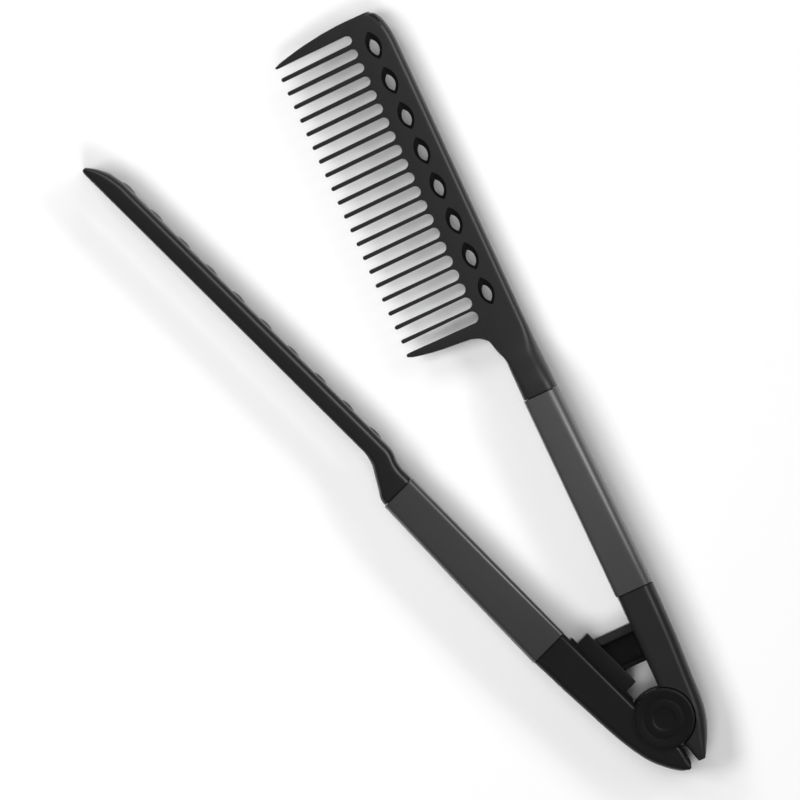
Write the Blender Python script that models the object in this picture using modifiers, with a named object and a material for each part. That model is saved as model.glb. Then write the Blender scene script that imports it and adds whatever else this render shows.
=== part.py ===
"""V-shaped hair comb: a comb arm and a slotted jaw arm hinged at one end, lying on its side.

Metres. +Z is the hinge axis and points up, +Y is the bisector of the V and points to its open
end, and the origin is on the hinge axis, in the plane that the comb lies on.

Each arm is modelled straight, in its own coordinates: "along" is the distance from the hinge axis
up the arm, and "out" is the distance from the arm's centre line, away from the other arm.
"""

from math import asin, cos, pi, radians, sin

import bmesh
import bpy
from mathutils import Matrix, Vector

# The V and the fits between its pieces
OPENING_ANGLE = radians(20.6)
COMB_SIDE = 1
JAW_SIDE = -1
SEAM = 0.0003
ARC_STEPS = 3
ROUND_SEGMENTS = 40
FULLEST_CORNER = 0.96
WELD_DISTANCE = 0.000001
MERGE_DISTANCE = 0.00001
SMOOTH_ANGLE = radians(30)

# Depths, measured up from the plane that the comb lies on
GRIP_DEPTH = 0.020
MID_DEPTH = GRIP_DEPTH / 2
BODY_HALF_DEPTH = MID_DEPTH - SEAM
KNUCKLE_HALF_DEPTH = 0.0032
EAR_HALF_GAP = KNUCKLE_HALF_DEPTH + SEAM
HANDLE_OUTER_RADIUS = 0.004
HANDLE_INNER_RADIUS = 0.002

# Grips, thin sleeves over the tangs of an arm's two halves
SLEEVE_WALL = 0.0012
TANG_END = 0.072

# Hinge
EAR_RADIUS = 0.0093
EAR_RELIEF = EAR_RADIUS + SEAM
BARREL_RADIUS = 0.0098
BARREL_RELIEF = BARREL_RADIUS + SEAM
PIN_RADIUS = 0.003
PIN_BORE = PIN_RADIUS + SEAM
CAP_RADIUS = 0.0091
CAP_TOP = 0.0212
CAP_CHAMFER = 0.0005
DIMPLE_RADIUS = 0.003
DIMPLE_SLOPE = 0.0004
DIMPLE_DEPTH = 0.0003
BACK_CAP_RADIUS = 0.006
BACK_CAP_HEIGHT = 0.0016
BACK_CAP_CHAMFER = 0.0004

# Teeth
THIN_TEETH = 20
FIRST_TOOTH = 0.22195
TOOTH_PITCH = 0.004479
PITCH_GROWTH = 0.00000426
TOOTH_TIP = -0.02455
TIP_HALF_WIDTH = 0.00052
TIP_ROUND = 0.00055
FIRST_ROOT_HALF = 0.00072
LAST_ROOT_HALF = 0.00046
FIRST_LEAN = 0.00055
LAST_LEAN = 0.0002
SLOT_ROOT = -0.0003
SLOT_STEPS = 6
UPPER_GUARD_ROOT = 0.2256
LOWER_GUARD_ROOT = 0.1312
TIP_HALF_DEPTH = 0.0008
ROOT_HALF_DEPTH = 0.0025

# Comb spine and the eyes through it
SPINE_HALF_DEPTH = 0.0026
SPINE_INNER = 0.0008
EYE_COUNT = 8
EYE_PITCH = 0.01157
FIRST_EYE = 0.21895
EYE_OUT = 0.005
EYE_LENGTH = 0.0054
EYE_WIDTH = 0.0028
EYE_SKEW = 0.12
EYE_STEPS = 4
RECESS_LENGTH = 0.009
RECESS_WIDTH = 0.0045
RECESS_DEPTH = 0.0011
RECESS_SHIFT = 0.0006
CUT_MARGIN = 0.0005

# Jaw frame
JAW_INNER = 0.00018
JAW_OUTER = 0.00663
JAW_SLOT_START = 0.1215
JAW_SLOT_END = 0.233
JAW_SLOT_HALF = 0.0035
JAW_SLOT_REACH = 0.02
JAW_NECK_START = 0.1173
JAW_INNER_RADIUS = 0.0028
JAW_OUTER_RADIUS = 0.0012
JAW_NECK_RADIUS = 0.003
BUMP_COUNT = 10
BUMP_PITCH = 0.01155
FIRST_BUMP = 0.2256
BUMP_HALF_LENGTH = 0.0025
BUMP_HEIGHT = 0.00033
BUMP_SINK = 0.0006
BUMP_HALF_DEPTH = 0.0016
BUMP_FROM_MID = 0.0052

# Stop post of the comb arm and its guide on the jaw arm
POST_LOW = 0.018
POST_HIGH = 0.0302
POST_END = -0.0125
POST_HALF_DEPTH = 0.005
POST_LOW_WALL = 0.0015
POST_HIGH_WALL = 0.0027
POST_WEB_HALF_DEPTH = 0.001
POST_ROOT = 0.005
POCKET_LOW = 0.0175
POCKET_HIGH = 0.0333
POCKET_END = 0.0129
POCKET_HALF_DEPTH = 0.0055
GUIDE_LOW = 0.0137
GUIDE_HIGH = 0.0342
GUIDE_TOP = -0.002
GUIDE_HALF_DEPTH = 0.007
FLANGE_LOW = 0.0105
FLANGE_HIGH = 0.0365
FLANGE_TOP = 0.0022
FLANGE_FLOOR = 0.004
FLANGE_HALF_DEPTH = 0.0078

# Columns: along, inner edge, outer edge, half depth. From the comb's top corner down to its neck.
SPINE_SECTIONS = (
    (0.2296, SPINE_INNER, 0.0080, SPINE_HALF_DEPTH),
    (0.2284, SPINE_INNER, 0.0092, SPINE_HALF_DEPTH),
    (0.2266, SPINE_INNER, 0.0104, SPINE_HALF_DEPTH),
    (0.2240, SPINE_INNER, 0.0112, SPINE_HALF_DEPTH),
    (0.2176, SPINE_INNER, 0.0119, SPINE_HALF_DEPTH),
    (0.2050, SPINE_INNER, 0.0120, SPINE_HALF_DEPTH),
    (0.1290, SPINE_INNER, 0.0121, SPINE_HALF_DEPTH),
    (0.1240, SPINE_INNER, 0.0122, 0.0028),
    (0.1205, 0.0009, 0.0122, 0.0034),
    (0.1170, 0.0017, 0.0123, 0.0046),
    (0.1135, 0.0017, 0.0124, 0.0064),
    (0.1100, 0.0017, 0.0125, 0.0082),
    (0.1070, 0.0016, 0.0125, 0.0093),
    (0.1039, 0.0016, 0.0126, BODY_HALF_DEPTH),
)

# Columns: along, out. The guards' free edges, from the spine to the tip and from the tip to the neck.
UPPER_GUARD = (
    (0.2285, 0.0030),
    (0.22945, 0.0012),
    (0.2295, -0.0030),
    (0.2291, -0.0080),
    (0.2283, -0.0140),
    (0.2271, -0.0200),
    (0.2264, -0.0230),
    (0.2256, -0.0245),
    (0.2251, -0.0239),
)
LOWER_GUARD = (
    (0.1313, -0.0236),
    (0.1307, -0.0247),
    (0.1301, -0.0243),
    (0.1296, -0.0230),
    (0.1289, -0.0200),
    (0.1280, -0.0140),
    (0.1275, -0.0080),
    (0.1272, -0.0050),
    (0.1265, -0.0031),
    (0.1252, -0.0012),
    (0.1237, -0.0001),
    (0.1210, 0.0004),
    (0.1196, 0.0008),
    (0.1181, 0.0015),
    (0.1160, 0.0030),
)

# Columns: along, inner edge, outer edge. Hinge ends, from the grip down to the tail.
COMB_KNUCKLE_SECTIONS = (
    (0.0386, 0.0026, 0.0141),
    (0.0232, 0.0026, 0.0139),
    (0.0160, 0.0026, 0.0136),
    (0.0080, 0.0026, 0.0132),
    (0.0016, 0.0026, 0.0129),
    (-0.0020, 0.0026, 0.0125),
    (-0.0056, 0.0026, 0.0116),
    (-0.0092, 0.0024, 0.0102),
    (-0.0128, 0.0033, 0.0082),
    (-0.0148, 0.0039, 0.0069),
    (-0.0160, 0.0047, 0.0060),
)
JAW_KNUCKLE_SECTIONS = (
    (0.0391, 0.0030, 0.0154),
    (0.0282, 0.0030, 0.0151),
    (0.0192, 0.0030, 0.0147),
    (0.0102, 0.0030, 0.0143),
    (0.0030, 0.0030, 0.0137),
    (-0.0024, 0.0030, 0.0129),
    (-0.0060, 0.0027, 0.0120),
    (-0.0096, 0.0022, 0.0105),
    (-0.0132, 0.0030, 0.0085),
    (-0.0150, 0.0035, 0.0071),
    (-0.0162, 0.0044, 0.0057),
)
COMB_GRIP_SECTIONS = (
    (0.0389, 0.0022, 0.0141),
    (0.0700, 0.0019, 0.0135),
    (0.1036, 0.0015, 0.0128),
)
JAW_GRIP_SECTIONS = (
    (0.0394, 0.0029, 0.0156),
    (0.0700, 0.0025, 0.0148),
    (0.1039, 0.0020, 0.0138),
)

# Columns: along, inner edge, outer edge. From the jaw's pointed tip down to its neck.
JAW_SECTIONS = (
    (0.2391, 0.0057, 0.0064),
    (0.2386, 0.0049, JAW_OUTER),
    (0.2370, 0.0034, JAW_OUTER),
    (0.2352, 0.0023, JAW_OUTER),
    (0.2334, 0.0014, JAW_OUTER),
    (0.2316, 0.0008, JAW_OUTER),
    (0.2298, 0.0005, JAW_OUTER),
    (0.2270, JAW_INNER, JAW_OUTER),
    (0.1200, JAW_INNER, JAW_OUTER),
    (0.1173, JAW_INNER, 0.0071),
    (0.1155, JAW_INNER, 0.0077),
    (0.1137, 0.0005, 0.0087),
    (0.1110, 0.0016, 0.0103),
    (0.1083, 0.0021, 0.0119),
    (0.1065, 0.0021, 0.0131),
    (0.1042, 0.0021, 0.0135),
)

# Columns: name, grey level as it looks, roughness
BLACK_PLASTIC = ("black_plastic", 0.17, 0.45)
GREY_PLASTIC = ("grey_plastic", 0.30, 0.42)
HUB_PLASTIC = ("hub_plastic", 0.09, 0.5)
DISPLAY_GAMMA = 2.2


# Scene, collections and materials
def empty_scene():
    for thing in list(bpy.data.objects):
        bpy.data.objects.remove(thing, do_unlink=True)


def new_collection(name):
    collection = bpy.data.collections.new(name)
    bpy.context.scene.collection.children.link(collection)
    return collection


def material(name, grey, roughness):
    found = bpy.data.materials.get(name)
    if found:
        return found
    made = bpy.data.materials.new(name)
    made.use_nodes = True
    shader = made.node_tree.nodes["Principled BSDF"]
    level = grey ** DISPLAY_GAMMA
    shader.inputs["Base Color"].default_value = (level, level, level, 1)
    shader.inputs["Roughness"].default_value = roughness
    shader.inputs["Metallic"].default_value = 0
    return made


# Mesh helpers
def mesh_object(name, bm):
    mesh = bpy.data.meshes.new(name)
    bm.normal_update()
    bmesh.ops.recalc_face_normals(bm, faces=bm.faces)
    bm.to_mesh(mesh)
    bm.free()
    return bpy.data.objects.new(name, mesh)


def loft(name, rings):
    """A closed solid through rings of points that have the same count."""
    bm = bmesh.new()
    rows = [[bm.verts.new(point) for point in ring] for ring in rings]
    for row, following in zip(rows, rows[1:]):
        for i in range(len(row)):
            bm.faces.new((row[i - 1], row[i], following[i], following[i - 1]))
    bm.faces.new(rows[0])
    bm.faces.new(rows[-1])
    return mesh_object(name, bm)


def rounded_ring(side, along, inner, outer, half_depth, inner_radius, outer_radius):
    """A rounded rectangle across an arm: its edges at inner and outer, centred on the mid depth."""
    most = min(half_depth, (outer - inner) / 2) * FULLEST_CORNER
    outer_radius = min(outer_radius, most)
    inner_radius = min(inner_radius, most)
    corners = (
        (outer - outer_radius, MID_DEPTH + half_depth - outer_radius, outer_radius, 0),
        (inner + inner_radius, MID_DEPTH + half_depth - inner_radius, inner_radius, 1),
        (inner + inner_radius, MID_DEPTH - half_depth + inner_radius, inner_radius, 2),
        (outer - outer_radius, MID_DEPTH - half_depth + outer_radius, outer_radius, 3),
    )
    points = []
    for out, up, radius, quarter in corners:
        for step in range(ARC_STEPS + 1):
            angle = (quarter + step / ARC_STEPS) * pi / 2
            points.append(Vector((side * (out + radius * cos(angle)), along, up + radius * sin(angle))))
    return points


def handle_ring(side, along, inner, outer, half_depth):
    return rounded_ring(side, along, inner, outer, half_depth, HANDLE_INNER_RADIUS, HANDLE_OUTER_RADIUS)


def grip_ring(side, sections, along, inset):
    """A grip's section at any place along it, drawn in by inset for its tunnel or its tangs."""
    upper = next((i for i in range(1, len(sections)) if along <= sections[i][0]), len(sections) - 1)
    low, high = sections[upper - 1], sections[upper]
    share = (along - low[0]) / (high[0] - low[0])
    inner = low[1] + share * (high[1] - low[1])
    outer = low[2] + share * (high[2] - low[2])
    return rounded_ring(
        side,
        along,
        inner + inset,
        outer - inset,
        MID_DEPTH - inset,
        HANDLE_INNER_RADIUS - inset,
        HANDLE_OUTER_RADIUS - inset,
    )


def tang_rings(side, sections, start):
    """The step from a half arm's end face to its tang, and the tang's own end inside the grip."""
    end = TANG_END + SEAM / 2 if start > TANG_END else TANG_END - SEAM / 2
    return [grip_ring(side, sections, along, SLEEVE_WALL + SEAM) for along in (start, end)]


def box(name, side, along, out, up):
    """A box between pairs of places along an arm, out from its centre line and up."""
    bm = bmesh.new()
    bmesh.ops.create_cube(bm, size=1)
    centre = Vector((side * (out[0] + out[1]) / 2, (along[0] + along[1]) / 2, (up[0] + up[1]) / 2))
    size = (out[1] - out[0], along[1] - along[0], up[1] - up[0])
    bm.transform(Matrix.Translation(centre) @ Matrix.Diagonal((*size, 1)))
    return mesh_object(name, bm)


def disc(name, radius, low, high):
    """A cylinder on the hinge axis."""
    bm = bmesh.new()
    bmesh.ops.create_cone(
        bm, cap_ends=True, segments=ROUND_SEGMENTS, radius1=radius, radius2=radius, depth=high - low
    )
    bm.transform(Matrix.Translation((0, 0, (low + high) / 2)))
    return mesh_object(name, bm)


def flat_plate(name, outline, half_thickness):
    """A 2D curve filled on both sides and extruded, made a welded mesh round z = 0."""
    curve = bpy.data.curves.new(name, "CURVE")
    curve.dimensions = "2D"
    curve.fill_mode = "BOTH"
    curve.extrude = half_thickness
    spline = curve.splines.new("POLY")
    spline.points.add(len(outline) - 1)
    for point, (x, y) in zip(spline.points, outline):
        point.co = (x, y, 0, 1)
    spline.use_cyclic_u = True
    drawn = bpy.data.objects.new(name + "_curve", curve)
    bpy.context.scene.collection.objects.link(drawn)
    evaluated = drawn.evaluated_get(bpy.context.evaluated_depsgraph_get())
    mesh = bpy.data.meshes.new_from_object(evaluated)
    bm = bmesh.new()
    bm.from_mesh(mesh)
    bmesh.ops.remove_doubles(bm, verts=bm.verts, dist=WELD_DISTANCE)
    bpy.data.objects.remove(drawn, do_unlink=True)
    return mesh_object(name, bm)


def reshape(thing, move):
    """Moves each point of a mesh to where move puts it."""
    bm = bmesh.new()
    bm.from_mesh(thing.data)
    for vertex in bm.verts:
        vertex.co = move(vertex.co)
    bm.normal_update()
    bmesh.ops.recalc_face_normals(bm, faces=bm.faces)
    bm.to_mesh(thing.data)
    bm.free()


def joined(name, things):
    """One mesh object from several that don't touch."""
    bm = bmesh.new()
    for thing in things:
        bm.from_mesh(thing.data)
        bpy.data.objects.remove(thing, do_unlink=True)
    return mesh_object(name, bm)


def combine(piece, tool, operation):
    step = piece.modifiers.new(tool.name, "BOOLEAN")
    step.operation = operation
    step.solver = "EXACT"
    step.object = tool
    tool.hide_render = True
    tool.display_type = "WIRE"


def turned(name, profile):
    """A turned piece on the hinge axis, from a profile of radius and height that runs down."""
    bm = bmesh.new()
    points = [bm.verts.new((radius, 0, height)) for radius, height in profile]
    for upper, lower in zip(points, points[1:]):
        bm.edges.new((upper, lower))
    mesh = bpy.data.meshes.new(name)
    bm.to_mesh(mesh)
    bm.free()
    piece = bpy.data.objects.new(name, mesh)
    screw = piece.modifiers.new("turn", "SCREW")
    screw.axis = "Z"
    screw.steps = ROUND_SEGMENTS
    screw.render_steps = ROUND_SEGMENTS
    screw.use_merge_vertices = True
    screw.merge_threshold = MERGE_DISTANCE
    return piece


# Comb arm
def slot_root(upper, lower):
    """The round end of the slot between two root edges."""
    centre, radius = (upper + lower) / 2, (upper - lower) / 2
    angles = [pi * step / SLOT_STEPS for step in range(SLOT_STEPS + 1)]
    return [(centre + radius * cos(angle), SLOT_ROOT - radius + radius * sin(angle)) for angle in angles]


def tooth_outline():
    """The comb's teeth and guards with the strip that roots them, as along and out pairs."""
    outline = list(UPPER_GUARD)
    upper_edge = UPPER_GUARD_ROOT
    for tooth in range(THIN_TEETH):
        share = tooth / (THIN_TEETH - 1)
        centre = FIRST_TOOTH - tooth * TOOTH_PITCH - tooth * tooth * PITCH_GROWTH
        root_half = FIRST_ROOT_HALF + share * (LAST_ROOT_HALF - FIRST_ROOT_HALF)
        tip = centre - FIRST_LEAN - share * (LAST_LEAN - FIRST_LEAN)
        outline.extend(slot_root(upper_edge, centre + root_half))
        outline.append((tip + TIP_HALF_WIDTH, TOOTH_TIP + TIP_ROUND))
        outline.append((tip, TOOTH_TIP))
        outline.append((tip - TIP_HALF_WIDTH, TOOTH_TIP + TIP_ROUND))
        upper_edge = centre - root_half
    outline.extend(slot_root(upper_edge, LOWER_GUARD_ROOT))
    outline.extend(LOWER_GUARD)
    return outline


def tooth_plate():
    """The teeth, thinning from the spine to their tips."""
    plate = flat_plate("comb_teeth", [(out, along) for along, out in tooth_outline()], 1)

    def thin(point):
        share = min(1, max(0, (point.x - TOOTH_TIP) / (SLOT_ROOT - TOOTH_TIP)))
        half_depth = TIP_HALF_DEPTH + share * (ROOT_HALF_DEPTH - TIP_HALF_DEPTH)
        return Vector((point.x, point.y, MID_DEPTH + half_depth * (1 if point.z > 0 else -1)))

    reshape(plate, thin)
    return plate


def lens(along, out, length, width):
    """A pointed oval of two arcs, sheared a little along the spine."""
    half, bulge = length / 2, width / 2
    radius = (half * half + bulge * bulge) / (2 * bulge)
    sweep = asin(half / radius)
    points = []
    for sign in (1, -1):
        for step in range(EYE_STEPS):
            angle = sweep * (1 - 2 * step / EYE_STEPS)
            x = sign * (radius * cos(angle) - (radius - bulge))
            points.append((out + x, along + sign * radius * sin(angle) + EYE_SKEW * x))
    return points


def eye_cutter(number):
    """Cuts one eye: straight through the middle, with a flared recess at each face."""
    along = FIRST_EYE - number * EYE_PITCH
    floor = SPINE_HALF_DEPTH - RECESS_DEPTH
    flare = (RECESS_DEPTH + CUT_MARGIN) / RECESS_DEPTH
    mouth = lens(
        along + RECESS_SHIFT * flare,
        EYE_OUT,
        EYE_LENGTH + (RECESS_LENGTH - EYE_LENGTH) * flare,
        EYE_WIDTH + (RECESS_WIDTH - EYE_WIDTH) * flare,
    )
    hole = lens(along, EYE_OUT, EYE_LENGTH, EYE_WIDTH)
    top = SPINE_HALF_DEPTH + CUT_MARGIN
    rings = [
        [Vector((x, y, MID_DEPTH + height)) for x, y in outline]
        for outline, height in ((mouth, top), (hole, floor), (hole, -floor), (mouth, -top))
    ]
    return loft(f"eye_{number + 1}", rings)


def comb_head():
    rings = [
        rounded_ring(
            COMB_SIDE,
            along,
            inner,
            outer,
            half_depth,
            HANDLE_INNER_RADIUS * (half_depth - SPINE_HALF_DEPTH) / (BODY_HALF_DEPTH - SPINE_HALF_DEPTH),
            HANDLE_OUTER_RADIUS,
        )
        for along, inner, outer, half_depth in SPINE_SECTIONS
    ]
    neck_end = SPINE_SECTIONS[-1][0]
    piece = loft("comb_head", rings + tang_rings(COMB_SIDE, COMB_GRIP_SECTIONS, neck_end))
    teeth = tooth_plate()
    eyes = joined("comb_eyes", [eye_cutter(number) for number in range(EYE_COUNT)])
    combine(piece, teeth, "UNION")
    combine(piece, eyes, "DIFFERENCE")
    return piece, [teeth, eyes]


def grip(name, side, sections):
    """A thin sleeve over both tangs, open at its two ends."""
    piece = loft(name, [grip_ring(side, sections, row[0], 0) for row in sections])
    ends = sections[0][0] - CUT_MARGIN, sections[-1][0] + CUT_MARGIN
    places = (ends[0], *(row[0] for row in sections[1:-1]), ends[1])
    tunnel = loft(name + "_tunnel", [grip_ring(side, sections, place, SLEEVE_WALL) for place in places])
    combine(piece, tunnel, "DIFFERENCE")
    return piece, [tunnel]


def knuckle_body(name, side, sections, grip_sections):
    rings = [handle_ring(side, along, inner, outer, BODY_HALF_DEPTH) for along, inner, outer in sections]
    return loft(name, tang_rings(side, grip_sections, sections[0][0])[::-1] + rings)


def stop_post():
    """A channelled bar across the V: two walls joined by a web."""
    depths = (MID_DEPTH - POST_HALF_DEPTH, MID_DEPTH + POST_HALF_DEPTH)
    bar = box("stop_post", COMB_SIDE, (POST_LOW, POST_HIGH), (POST_END, POST_ROOT), depths)
    channels = []
    for name, low, high in (
        ("post_channel_front", POST_WEB_HALF_DEPTH, POST_HALF_DEPTH + CUT_MARGIN),
        ("post_channel_back", -POST_HALF_DEPTH - CUT_MARGIN, -POST_WEB_HALF_DEPTH),
    ):
        channels.append(
            box(
                name,
                COMB_SIDE,
                (POST_LOW + POST_LOW_WALL, POST_HIGH - POST_HIGH_WALL),
                (POST_END + POST_LOW_WALL, COMB_KNUCKLE_SECTIONS[0][1] - SEAM),
                (MID_DEPTH + low, MID_DEPTH + high),
            )
        )
    channels = joined("post_channels", channels)
    combine(bar, channels, "DIFFERENCE")
    return bar, channels


def comb_knuckle():
    piece = knuckle_body("comb_knuckle", COMB_SIDE, COMB_KNUCKLE_SECTIONS, COMB_GRIP_SECTIONS)
    reliefs = joined(
        "comb_hinge_reliefs",
        [
            disc("relief_low", EAR_RELIEF, -CUT_MARGIN, MID_DEPTH - KNUCKLE_HALF_DEPTH),
            disc("relief_high", EAR_RELIEF, MID_DEPTH + KNUCKLE_HALF_DEPTH, GRIP_DEPTH + CUT_MARGIN),
        ],
    )
    barrel = disc(
        "comb_barrel", BARREL_RADIUS, MID_DEPTH - KNUCKLE_HALF_DEPTH, MID_DEPTH + KNUCKLE_HALF_DEPTH
    )
    bore = disc("comb_bore", PIN_BORE, 0, GRIP_DEPTH)
    post, channels = stop_post()
    combine(piece, reliefs, "DIFFERENCE")
    combine(piece, barrel, "UNION")
    combine(piece, bore, "DIFFERENCE")
    combine(piece, post, "UNION")
    return piece, [reliefs, barrel, bore, post, channels]


# Jaw arm
def grip_bumps():
    """Low ovals on the inner faces of both rails."""
    bumps = []
    for number in range(BUMP_COUNT):
        for rail in (-1, 1):
            bm = bmesh.new()
            bmesh.ops.create_uvsphere(bm, u_segments=8, v_segments=6, radius=1)
            place = Vector(
                (
                    JAW_SIDE * (JAW_INNER + BUMP_SINK),
                    FIRST_BUMP - number * BUMP_PITCH,
                    MID_DEPTH + rail * BUMP_FROM_MID,
                )
            )
            size = (BUMP_SINK + BUMP_HEIGHT, BUMP_HALF_LENGTH, BUMP_HALF_DEPTH)
            bm.transform(Matrix.Translation(place) @ Matrix.Diagonal((*size, 1)))
            bumps.append(mesh_object(f"bump_{number + 1}_{rail}", bm))
    return joined("jaw_bumps", bumps)


def jaw_slot():
    """The long round-ended slot between the rails, cut across the jaw."""
    outline = []
    for centre, start in (
        (JAW_SLOT_END - JAW_SLOT_HALF, 0),
        (JAW_SLOT_START + JAW_SLOT_HALF, pi),
    ):
        for step in range(SLOT_STEPS + 1):
            angle = start + pi * step / SLOT_STEPS
            outline.append((JAW_SLOT_HALF * cos(angle), centre + JAW_SLOT_HALF * sin(angle)))
    cutter = flat_plate("jaw_slot", outline, JAW_SLOT_REACH)
    reshape(cutter, lambda point: Vector((point.z, point.y, MID_DEPTH + point.x)))
    return cutter


def jaw_frame():
    """A deep thin blade with rounded inner edges, split into two rails by the slot."""
    rings = []
    for along, inner, outer in JAW_SECTIONS:
        outer_radius = JAW_OUTER_RADIUS if along > JAW_NECK_START else JAW_NECK_RADIUS
        rings.append(
            rounded_ring(JAW_SIDE, along, inner, outer, BODY_HALF_DEPTH, JAW_INNER_RADIUS, outer_radius)
        )
    piece = loft("jaw_frame", rings + tang_rings(JAW_SIDE, JAW_GRIP_SECTIONS, JAW_SECTIONS[-1][0]))
    bumps = grip_bumps()
    slot = jaw_slot()
    combine(piece, bumps, "UNION")
    combine(piece, slot, "DIFFERENCE")
    return piece, [bumps, slot]


def jaw_knuckle():
    piece = knuckle_body("jaw_knuckle", JAW_SIDE, JAW_KNUCKLE_SECTIONS, JAW_GRIP_SECTIONS)
    ears = joined(
        "jaw_ears",
        [
            disc("ear_low", EAR_RADIUS, MID_DEPTH - BODY_HALF_DEPTH, MID_DEPTH - EAR_HALF_GAP),
            disc("ear_high", EAR_RADIUS, MID_DEPTH + EAR_HALF_GAP, MID_DEPTH + BODY_HALF_DEPTH),
        ],
    )
    relief = disc("jaw_hinge_relief", BARREL_RELIEF, MID_DEPTH - EAR_HALF_GAP, MID_DEPTH + EAR_HALF_GAP)
    bore = disc("jaw_bore", PIN_BORE, -CUT_MARGIN, GRIP_DEPTH + CUT_MARGIN)
    seat = disc("pin_cap_seat", BACK_CAP_RADIUS + SEAM, -CUT_MARGIN, BACK_CAP_HEIGHT + SEAM)
    pocket = box(
        "post_pocket",
        JAW_SIDE,
        (POCKET_LOW, POCKET_HIGH),
        (0, POCKET_END),
        (MID_DEPTH - POCKET_HALF_DEPTH, MID_DEPTH + POCKET_HALF_DEPTH),
    )
    flange_seat = box(
        "flange_seat",
        JAW_SIDE,
        (FLANGE_LOW - SEAM, FLANGE_HIGH + SEAM),
        (0, FLANGE_FLOOR + SEAM),
        (MID_DEPTH - FLANGE_HALF_DEPTH - SEAM, MID_DEPTH + FLANGE_HALF_DEPTH + SEAM),
    )
    combine(piece, relief, "DIFFERENCE")
    combine(piece, ears, "UNION")
    combine(piece, bore, "DIFFERENCE")
    combine(piece, seat, "DIFFERENCE")
    combine(piece, flange_seat, "DIFFERENCE")
    combine(piece, pocket, "DIFFERENCE")
    return piece, [relief, ears, bore, seat, flange_seat, pocket]


def post_guide():
    """A box open at both ends on a flange that is let into the jaw arm's inner face."""
    piece = box(
        "post_guide",
        JAW_SIDE,
        (FLANGE_LOW, FLANGE_HIGH),
        (FLANGE_TOP, FLANGE_FLOOR),
        (MID_DEPTH - FLANGE_HALF_DEPTH, MID_DEPTH + FLANGE_HALF_DEPTH),
    )
    block = box(
        "guide_block",
        JAW_SIDE,
        (GUIDE_LOW, GUIDE_HIGH),
        (GUIDE_TOP, (FLANGE_TOP + FLANGE_FLOOR) / 2),
        (MID_DEPTH - GUIDE_HALF_DEPTH, MID_DEPTH + GUIDE_HALF_DEPTH),
    )
    opening = box(
        "guide_opening",
        JAW_SIDE,
        (POCKET_LOW, POCKET_HIGH),
        (GUIDE_TOP - CUT_MARGIN, FLANGE_FLOOR + CUT_MARGIN),
        (MID_DEPTH - POCKET_HALF_DEPTH, MID_DEPTH + POCKET_HALF_DEPTH),
    )
    combine(piece, block, "UNION")
    combine(piece, opening, "DIFFERENCE")
    return piece, [block, opening]


# Hinge pin and its back cap
def hinge_pin():
    """The round front cap, with a shallow dimple, and the pin under it."""
    profile = (
        (0, CAP_TOP - DIMPLE_DEPTH),
        (DIMPLE_RADIUS, CAP_TOP - DIMPLE_DEPTH),
        (DIMPLE_RADIUS + DIMPLE_SLOPE, CAP_TOP),
        (CAP_RADIUS - CAP_CHAMFER, CAP_TOP),
        (CAP_RADIUS, CAP_TOP - CAP_CHAMFER),
        (CAP_RADIUS, GRIP_DEPTH),
        (PIN_RADIUS, GRIP_DEPTH),
        (PIN_RADIUS, BACK_CAP_HEIGHT + SEAM),
        (0, BACK_CAP_HEIGHT + SEAM),
    )
    return turned("hinge_pin", profile)


def pin_cap():
    profile = (
        (0, BACK_CAP_HEIGHT),
        (BACK_CAP_RADIUS, BACK_CAP_HEIGHT),
        (BACK_CAP_RADIUS, BACK_CAP_CHAMFER),
        (BACK_CAP_RADIUS - BACK_CAP_CHAMFER, 0),
        (0, 0),
    )
    return turned("pin_cap", profile)


# Assembly
def arm_axis(name, turn, parts):
    """The empty on the hinge axis that turns a straight arm to its place in the V."""
    axis = bpy.data.objects.new(name, None)
    axis.rotation_euler.z = turn
    parts.objects.link(axis)
    return axis


def place(piece, look, parts, axis=None):
    parts.objects.link(piece)
    piece.parent = axis
    piece.data.materials.append(material(*look))
    piece.data.shade_smooth()
    piece.data.set_sharp_from_angle(angle=SMOOTH_ANGLE)


def build():
    empty_scene()
    parts = new_collection("v_shaped_hair_comb")
    cutters = new_collection("cutters")
    arms = (
        (
            arm_axis("comb_arm_axis", -OPENING_ANGLE / 2, parts),
            (
                (comb_head(), BLACK_PLASTIC),
                (grip("comb_grip", COMB_SIDE, COMB_GRIP_SECTIONS), GREY_PLASTIC),
                (comb_knuckle(), BLACK_PLASTIC),
            ),
        ),
        (
            arm_axis("jaw_arm_axis", OPENING_ANGLE / 2, parts),
            (
                (jaw_frame(), BLACK_PLASTIC),
                (grip("jaw_grip", JAW_SIDE, JAW_GRIP_SECTIONS), GREY_PLASTIC),
                (jaw_knuckle(), BLACK_PLASTIC),
                (post_guide(), BLACK_PLASTIC),
            ),
        ),
    )
    for axis, pieces in arms:
        for (piece, tools), look in pieces:
            place(piece, look, parts, axis)
            for tool in tools:
                cutters.objects.link(tool)
                tool.parent = axis
    place(hinge_pin(), HUB_PLASTIC, parts)
    place(pin_cap(), BLACK_PLASTIC, parts)


build()
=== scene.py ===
"""The v-shaped hair comb as it looks: moulded plastic pieces on a pale floor, seen from above."""

from collections import namedtuple
from math import ceil, cos, pi, radians, sin, sqrt

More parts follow.
